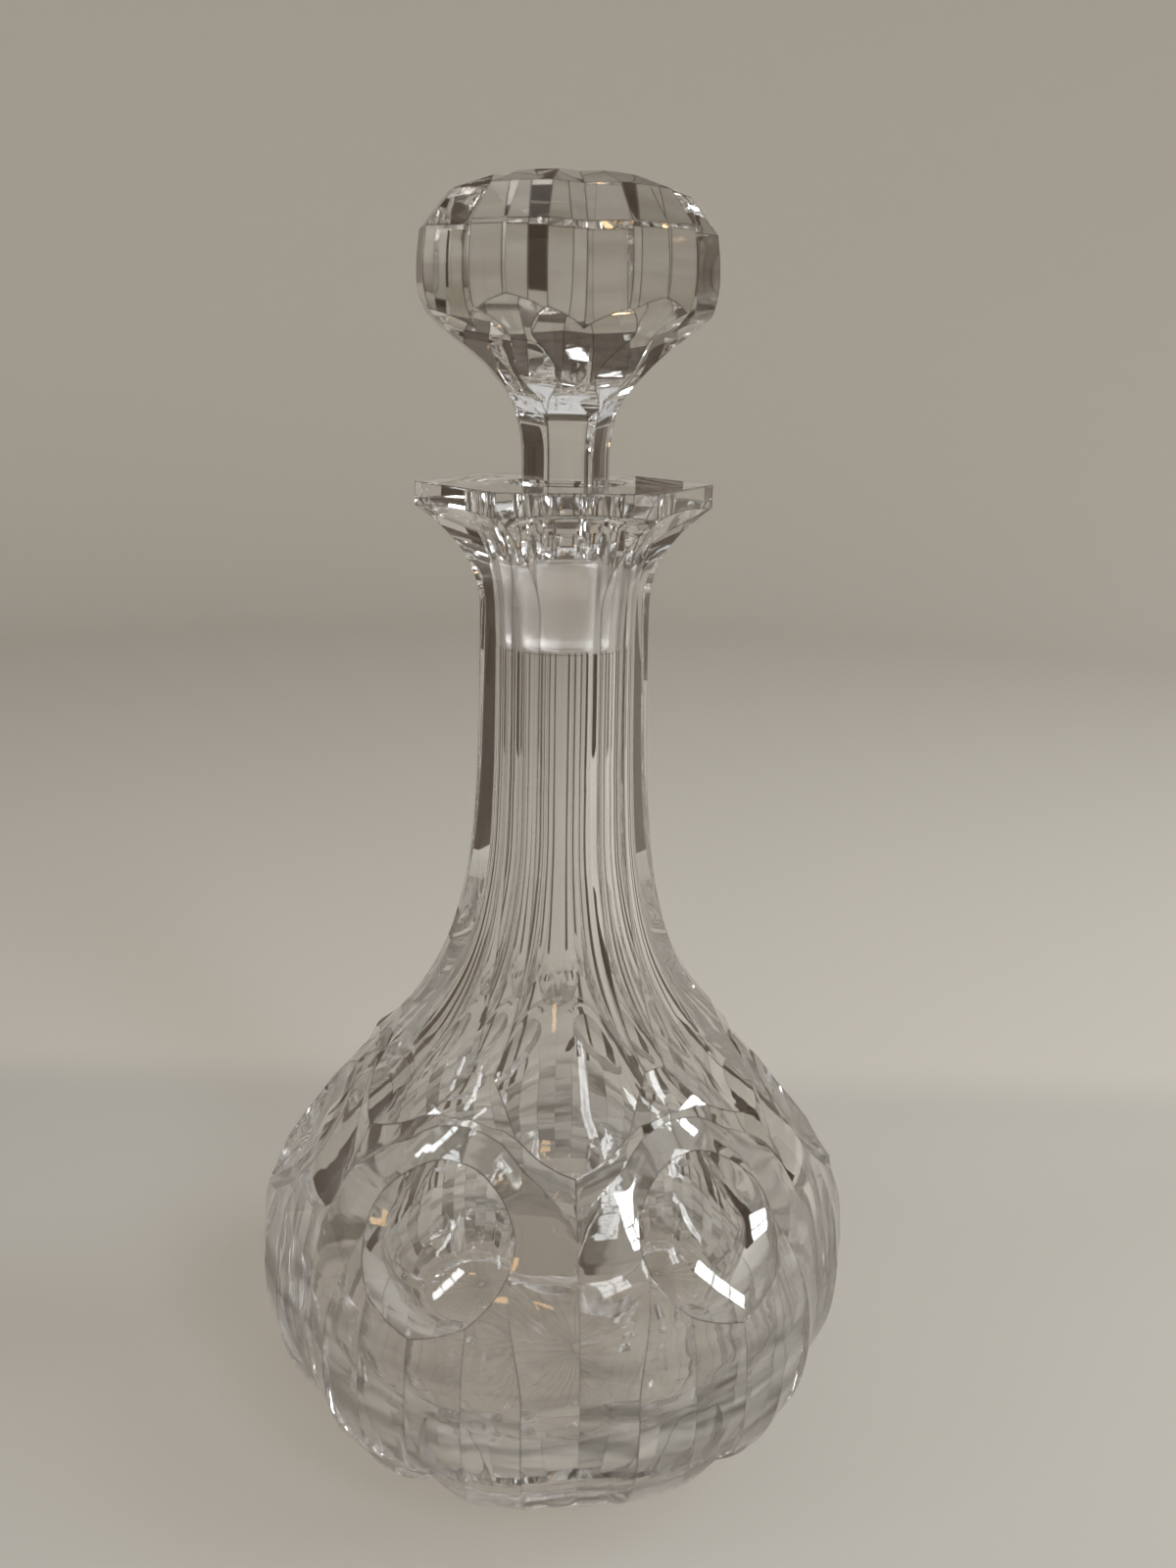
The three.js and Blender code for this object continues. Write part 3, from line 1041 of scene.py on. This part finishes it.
    def cavity(self) -> Object:
        """The blown inside, the bore, the ground seat and the mouth, as one body of revolution."""
        wall = np.array([
            (0.0, self.base_thickness),
            (self.cavity_radius * 0.55, self.base_thickness + 1),
            (self.cavity_radius * 0.88, self.base_thickness + 9),
            (self.cavity_radius, self.base_thickness + 30),
            (self.cavity_radius * 0.95, self.base_thickness + 47),
            (self.cavity_radius * 0.77, self.body_height - 10),
            (self.cavity_radius * 0.59, self.body_height + 3),
            (self.cavity_radius * 0.39, self.shoulder_top - 2),
            (self.bore_radius * 1.6, self.shoulder_top + 14),
            (self.bore_radius * 1.13, self.shoulder_top + 34),
            (self.bore_radius, self.shoulder_top + 60),
        ])
        place = np.concatenate(([0], np.cumsum(np.hypot(*np.diff(wall, axis=0).T))))
        fine = np.linspace(0.5, place[-1], self.cavity_rings)
        curve = np.stack((spline(place, wall[:, 0], fine), spline(place, wall[:, 1], fine)), axis=-1)
        rim = np.array([
            (self.bore_radius, self.plug_foot - self.seat_gap),
            (self.plug_radius - self.plug_taper + self.seat_gap, self.plug_foot - self.seat_gap),
            (self.plug_radius + self.seat_gap, self.plug_top),
            (self.mouth_radius, self.lip_top - self.mouth_edge),
            (self.mouth_radius + self.mouth_edge * 0.3, self.lip_top - self.mouth_edge * 0.35),
            (self.mouth_radius + self.mouth_edge, self.lip_top),
            (self.mouth_radius + self.mouth_edge, self.lip_top + 1),
        ])
        return turned_body("cavity", np.concatenate((curve, rim)), self.cavity_sides)

    def star_tool(self) -> Object:
        """The base's star: a disc whose rim steps up and down with each ray, joined to its middle."""
        count = 2 * self.star_rays
        bearing = np.arange(count) * 360.0 / count
        rays = self.star_rise + (np.arange(count) % 2) * self.ray_depth
        flat = np.ones(count)
        rings = np.stack((
            ring_points(bearing, (self.star_radius + 2 * self.star_rim) * flat, -self.star_rise),
            ring_points(bearing, self.star_radius * flat, rays),
            ring_points(bearing, self.star_middle * flat, self.star_rise * flat),
        ))
        return closed_loft("star_tool", rings)

    def build(self) -> Object:
        """Cuts the bottle from its surfaces.

        Returns:
            The bottle, at the origin, riding on its body.
        """
        glass = self.lobes()
        glass.name = "cut_bottle"
        wide = self.panelled("wide_panels", 0.0, self.wide_distance, self.wide_hollow)
        cut_glass(glass, wide, Cut.KEEP_INSIDE)
        narrow = self.panelled("narrow_panels", HALF_SECTOR, self.facet_distance, self.facet_hollow)
        cut_glass(glass, narrow, Cut.KEEP_INSIDE)
        cut_glass(glass, self.lip_bound(), Cut.KEEP_INSIDE)
        for lobe in range(LOBES):
            bearing = HALF_SECTOR + lobe * SECTOR
            cut_glass(glass, self.hollow_tool(bearing), Cut.TAKE_AWAY)
            cut_glass(glass, self.toe_tool(bearing), Cut.TAKE_AWAY)
        cut_glass(glass, self.cavity(), Cut.TAKE_AWAY)
        cut_glass(glass, self.star_tool(), Cut.TAKE_AWAY)
        polish(glass, CREASE)
        # The bottle's glass carries painted shade along its cut edges and on its flutes.
        finish = LeadGlass(
            "bottle_glass", ground_low=self.plug_foot, ground_high=self.plug_top,
            ground_radius=self.plug_radius + 1.2, face_step=SECTOR / self.flutes, face_turn=0.0,
            face_low=4.0, face_high=62.0, painted_face_shade=(0.09, 0.075, 0.055),
        )
        glass.data.materials.clear()
        glass.data.materials.append(finish.material())
        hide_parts("decanter_bottle")
        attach(glass, "bottle")
        return glass


@dataclass
class Stopper:
    """The stopper: a ground plug, a six-sided stem and a head of six faceted lobes.

    Stations are heights above the stem's top with a radius or a distance from the axis.
    """

    plug_foot: float
    plug_top: float
    plug_radius: float = 10.4
    plug_taper: float = 1.1
    plug_edge: float = 0.8
    stem_height: float = 19.6
    facets: int = 4
    groove: float = 0.165
    turn: float = 3.0
    stem_hollow: float = 0.006
    petal_hollow: float = 0.004
    panel_pieces: int = 12
    panel_rings: int = 80
    panel_top: float = 40.0
    head_rings: int = 70
    plug_sides: int = 96
    lobe_stations: Stations = (
        (-20, 13.0), (6, 13.6), (12, 15.0), (16, 17.2), (20, 21.9), (24, 26.5), (28, 29.7), (33, 31.1),
        (38, 31.2), (44.2, 30.5),
    )
    crown_stations: Stations = ((51.4, 24.6), (54.3, 16.4), (55.3, 7.0))
    stem_stations: Stations = (
        (-20, 8.1), (0, 8.1), (4, 8.35), (9.5, 9.6), (12, 11.0), (14, 13.0), (16, 15.0), (20, 18.2),
        (24, 21.6), (26, 24.2), (30, 31.0), (34, 40.0), (60, 40.0),
    )
    petal_stations: Stations = (
        (-20, 10.4), (4, 10.4), (10, 11.3), (14.2, 13.5), (18.2, 16.9), (21.7, 21.0), (24.4, 24.7),
        (27.5, 28.0), (31.2, 30.9), (35, 35.0), (39, 42.0), (60, 42.0),
    )

    @property
    def head_foot(self) -> float:
        """Height of the top of the slim stem."""
        return self.plug_top + self.stem_height

    def along(self, stations: Stations, height: Array) -> Array:
        """Radius or distance at a height, on a smooth curve through its stations."""
        place, value = np.array(stations, float).T
        return spline(self.head_foot + place, value, height)

    def head(self) -> Object:
        """The faceted head: rings with a flat facet between each two edges, and grooves drawn in."""
        place, radii = np.array(self.lobe_stations).T
        chord = np.concatenate(([0], np.cumsum(np.hypot(np.diff(radii), np.diff(place)))))
        fine = np.concatenate(([0], np.linspace(chord[1], chord[-1], self.head_rings)))
        crown_place, crown_radii = np.array(self.crown_stations).T
        radius = np.concatenate((spline(chord, radii, fine), crown_radii))
        height = self.head_foot + np.concatenate((spline(chord, place, fine), crown_place))
        height[0] = self.plug_top
        step = SECTOR / self.facets
        index = np.arange(LOBES * self.facets)
        drawn = np.where(index % self.facets == 0, self.groove, 0)
        ring = radius[:, None] * (1 - drawn[None, :])
        return closed_loft("head", ring_points(self.turn + index * step, ring, height[:, None]))

    def panels(self, name: str, turn: float, stations: Stations,
               hollow: float) -> Object:
        """Six hollow-cut panels that open upwards by their stations.

        Args:
            name: Name of the body.
            turn: Bearing of the middle of the first panel.
            stations: Heights above the stem's top and distances from the axis.
            hollow: How hollow a panel is across.

        Returns:
            The closed body.
        """
        pieces = self.panel_pieces
        height = np.concatenate((
            [self.plug_top],
            self.head_foot + np.linspace(0, self.panel_top, self.panel_rings),
            [self.head_foot + stations[-1][0]],
        ))
        side = np.arange(LOBES * pieces)
        angle = -HALF_SECTOR + SECTOR * (side % pieces) / pieces
        distance = self.along(stations, height)[:, None]
        radius = panel_radius(distance, hollow, angle[None, :])
        bearing = turn + (side // pieces) * SECTOR + angle
        return closed_loft(name, ring_points(bearing[None, :], radius, height[:, None]))

    def plug(self) -> Object:
        """The ground plug, a slightly tapered turned body."""
        foot_radius = self.plug_radius - self.plug_taper
        return turned_body("plug", np.array([
            (foot_radius - self.plug_edge, self.plug_foot),
            (foot_radius, self.plug_foot + self.plug_edge),
            (self.plug_radius, self.plug_top),
            (self.plug_radius - self.plug_edge, self.plug_top + self.plug_edge * 1.5),
        ]), self.plug_sides)

    def build(self) -> Object:
        """Cuts the stopper from its surfaces.

        Returns:
            The stopper, at the origin, riding on its body.
        """
        glass = self.head()
        glass.name = "cut_stopper"
        stem = self.panels("stem", self.turn, self.stem_stations, self.stem_hollow)
        cut_glass(glass, stem, Cut.KEEP_INSIDE)
        petals = self.panels("petals", self.turn + HALF_SECTOR, self.petal_stations, self.petal_hollow)
        cut_glass(glass, petals, Cut.KEEP_INSIDE)
        cut_glass(glass, self.plug(), Cut.JOIN)
        polish(glass, CREASE)
        # The stopper's glass carries painted shade along its cut edges and on its head's facets.
        finish = LeadGlass(
            "stopper_glass", ground_low=self.plug_foot - 1, ground_high=self.plug_top,
            ground_radius=self.plug_radius + 1.0, face_step=SECTOR / self.facets, face_turn=self.turn,
            face_low=self.head_foot + 8, face_high=self.head_foot * 2, painted_face_shade=(0.6, 0.56, 0.5),
        )
        glass.data.materials.clear()
        glass.data.materials.append(finish.material())
        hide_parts("stopper")
        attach(glass, "stopper")
        return glass


# The studio


@dataclass
class Studio:
    """Floor, lamps, world and camera."""

    floor_radius: float = 1.6
    sweep_radius: float = 0.5
    wall_height: float = 0.8
    standing_gap: float = 0.0001
    sweep_rings: int = 24
    flat_rings: tuple[float, float] = (0.3, 0.8)
    bearings: int = 96
    aim_height: float = 0.12
    pane_pitch: tuple[float, float] = (1.12, 1.1)
    longest_path: int = 24
    card_colour: Colour = (0.09, 0.065, 0.045)
    cards: tuple[tuple[float, float, float, float], ...] = (
        (-112, 0.6, 0.25, 0.3), (-62, 0.6, 0.3, 0.34), (-16, 0.6, 0.14, 0.36), (4, 0.6, 0.1, 0.36),
        (52, 0.6, 0.2, 0.3), (98, 0.6, 0.3, 0.3),
        (138, 0.22, 0.05, 0.3), (166, 0.22, 0.018, 0.3), (-160, 0.22, 0.018, 0.3), (-140, 0.22, 0.05, 0.3),
    )
    room_colour: Colour = (0.11, 0.09, 0.072)
    backdrop_colour: Colour = (0.34, 0.31, 0.26)
    lens: float = 40.98
    sensor: float = 36.0
    eye: Place = (-0.0247, -0.2942, 0.2498)
    heading: float = 6.0
    dip: float = 16.81
    lean: float = 1.17

    @property
    def aim(self) -> Array:
        """The middle of the decanter, which every lamp faces."""
        return np.array([0.0, 0.0, self.aim_height])

    def floor(self) -> None:
        """A round board that sweeps up into a wall all round: a circle's arc joins the two."""
        bend = np.radians(np.linspace(0, 90, self.sweep_rings))
        radius = np.concatenate((
            self.flat_rings,
            self.floor_radius - self.sweep_radius + self.sweep_radius * np.sin(bend),
            [self.floor_radius],
        ))
        height = np.concatenate(([0.0, 0.0], self.sweep_radius * (1 - np.cos(bend)), [self.wall_height]))
        bearings = np.radians(np.arange(self.bearings) * 360.0 / self.bearings)
        points = np.stack((
            radius[:, None] * np.sin(bearings),
            -radius[:, None] * np.cos(bearings),
            height[:, None] + 0 * bearings,
        ), axis=-1)
        rings, count, _ = points.shape
        faces = [list(range(count))] + ring_quads(rings, count)[:, ::-1].tolist()
        mesh = bpy.data.meshes.new("studio_floor")
        mesh.from_pydata(points.reshape(-1, 3), [], faces)
        mesh.shade_smooth()
        mesh.materials.append(StudioFloor().material())
        board = place_object("studio_floor", mesh)
        board.location.z = -self.standing_gap

    def lamp(self, name: str, place: Place, size: tuple[float, float],
             power: float, colour: Colour) -> None:
        """A rectangular soft lamp that faces the middle of the decanter.

        Args:
            name: Name of the lamp.
            place: Where it stands, in metres.
            size: Its width and height.
            power: Its power in watts.
            colour: Its colour.
        """
        light = bpy.data.lights.new(name, "AREA")
        light.shape = "RECTANGLE"
        light.size, light.size_y = size
        light.energy = power
        light.color = colour
        forward = self.aim - np.array(place)
        forward /= np.linalg.norm(forward)
        right = np.cross(forward, (0.0, 0.0, 1.0))
        right /= np.linalg.norm(right)
        up = np.cross(right, forward)
        turned = np.vstack((np.stack((right, up, -forward, place), axis=-1), (0, 0, 0, 1)))
        place_object(name, light).matrix_world = Matrix(turned)

    def window(self, name: str, azimuth: float, elevation: float, distance: float, panes: tuple[int, int],
               pane: tuple[float, float], power: float, colour: Colour = (0.93, 0.97, 1.0)) -> None:
        """A window of equal panes with bars between them, facing the decanter.

        Args:
            name: Name of its lamps.
            azimuth: Where it stands, in degrees from the front towards the right.
            elevation: Degrees above the table.
            distance: Metres from the decanter.
            panes: Columns and rows of panes.
            pane: Width and height of a pane in metres.
            power: Watts for one pane.
            colour: Colour of its light.
        """
        turn, rise = math.radians(azimuth), math.radians(elevation)
        out = np.array([math.sin(turn) * math.cos(rise), -math.cos(turn) * math.cos(rise), math.sin(rise)])
        right = np.array([math.cos(turn), math.sin(turn), 0.0])
        up = np.cross(out, right)
        for column in range(panes[0]):
            for row in range(panes[1]):
                across = (column - (panes[0] - 1) / 2) * pane[0] * self.pane_pitch[0]
                upward = (row - (panes[1] - 1) / 2) * pane[1] * self.pane_pitch[1]
                place = out * distance + right * across + up * upward + self.aim
                self.lamp(f"{name}_{column}_{row}", tuple(place), pane, power, colour)

    def flag(self, name: str, azimuth: float, distance: float, size: tuple[float, float],
             colour: Colour) -> None:
        """A dark upright card that only the glass sees, as is used to draw the edges of glass.

        Args:
            name: Name of the card.
            azimuth: Where it stands, in degrees from the front towards the right.
            distance: Metres from the decanter.
            size: Its width and height.
            colour: Its colour.
        """
        turn = math.radians(azimuth)
        out = np.array([math.sin(turn), -math.cos(turn), 0.0])
        across = np.array([math.cos(turn), math.sin(turn), 0.0]) * size[0] / 2
        up = np.array([0.0, 0.0, size[1]])
        foot = out * distance
        mesh = bpy.data.meshes.new(name)
        corners = [foot - across, foot + across, foot + across + up, foot - across + up]
        mesh.from_pydata(corners, [], [(0, 1, 2, 3)])
        finish = bpy.data.materials.new(name)
        finish.use_nodes = True
        finish.node_tree.nodes["Principled BSDF"].inputs["Base Color"].default_value = (*colour, 1.0)
        mesh.materials.append(finish)
        card = place_object(name, mesh)
        card.visible_camera = card.visible_diffuse = card.visible_shadow = False

    def flags(self) -> None:
        """Dark cards all round, with gaps between them, the narrow ones close behind the glass."""
        for number, (azimuth, distance, width, height) in enumerate(self.cards):
            self.flag(f"card_{number}", azimuth, distance, (width, height), self.card_colour)

    def lights(self) -> None:
        """Windows in front and to both sides, a small warm lamp, and a soft light from above."""
        self.window("front_window", 31, 37, 1.5, (2, 3), (0.11, 0.13), 1.3)
        self.window("left_window", -75, 38, 1.5, (1, 3), (0.12, 0.14), 0.9)
        self.window("right_window", 80, 42, 1.5, (1, 3), (0.2, 0.24), 3.8)
        self.window("table_lamp", -20, 24, 1.2, (1, 1), (0.16, 0.2), 0.8, (1.0, 0.6, 0.25))
        self.window("ceiling", 0, 86, 1.8, (1, 1), (1.9, 1.6), 5.6)

    def world(self) -> None:
        """A dim warm room above the wall, which the camera itself sees as pale as the wall."""
        world = bpy.data.worlds.new("room")
        world.use_nodes = True
        tree = world.node_tree
        seen = add_node(tree, "LightPath", {}).outputs["Is Camera Ray"]
        colour = mixed(tree, seen, self.room_colour, self.backdrop_colour)
        feed(tree, tree.nodes["Background"].inputs["Color"], colour)
        bpy.context.scene.world = world

    def camera(self) -> None:
        """The camera, where the photograph was taken from."""
        data = bpy.data.cameras.new("camera")
        data.lens = self.lens
        data.sensor_width = self.sensor
        data.sensor_fit = "HORIZONTAL"
        data.clip_start = 0.01
        camera = place_object("camera", data)
        turned = (
            Matrix.Rotation(math.radians(-self.heading), 4, "Z")
            @ Matrix.Rotation(math.radians(90 - self.dip), 4, "X")
            @ Matrix.Rotation(math.radians(self.lean), 4, "Z")
        )
        camera.matrix_world = Matrix.Translation(self.eye) @ turned
        bpy.context.scene.camera = camera

    def light_paths(self) -> None:
        """Lets light go on through the many faces of cut glass, where short paths would end black."""
        paths = bpy.context.scene.cycles
        paths.max_bounces = self.longest_path
        paths.glossy_bounces = self.longest_path
        paths.transmission_bounces = self.longest_path
        paths.transparent_max_bounces = self.longest_path

    def build(self) -> None:
        """Sets up the whole studio."""
        self.light_paths()
        self.camera()
        self.floor()
        self.lights()
        self.flags()
        self.world()
        bpy.context.scene.view_settings.view_transform = "Standard"


def main() -> None:
    """Builds the studio, the bottle and the stopper in order."""
    logging.basicConfig(level=logging.INFO, format="%(message)s")
    Studio().build()
    log.info("studio")
    bottle = Bottle()
    for piece in (bottle.build(), Stopper(bottle.plug_foot, bottle.plug_top).build()):
        log.info("%s: %d faces", piece.name, len(piece.data.polygons))
    bpy.context.view_layer.update()


if __name__ == "__main__":
    main()
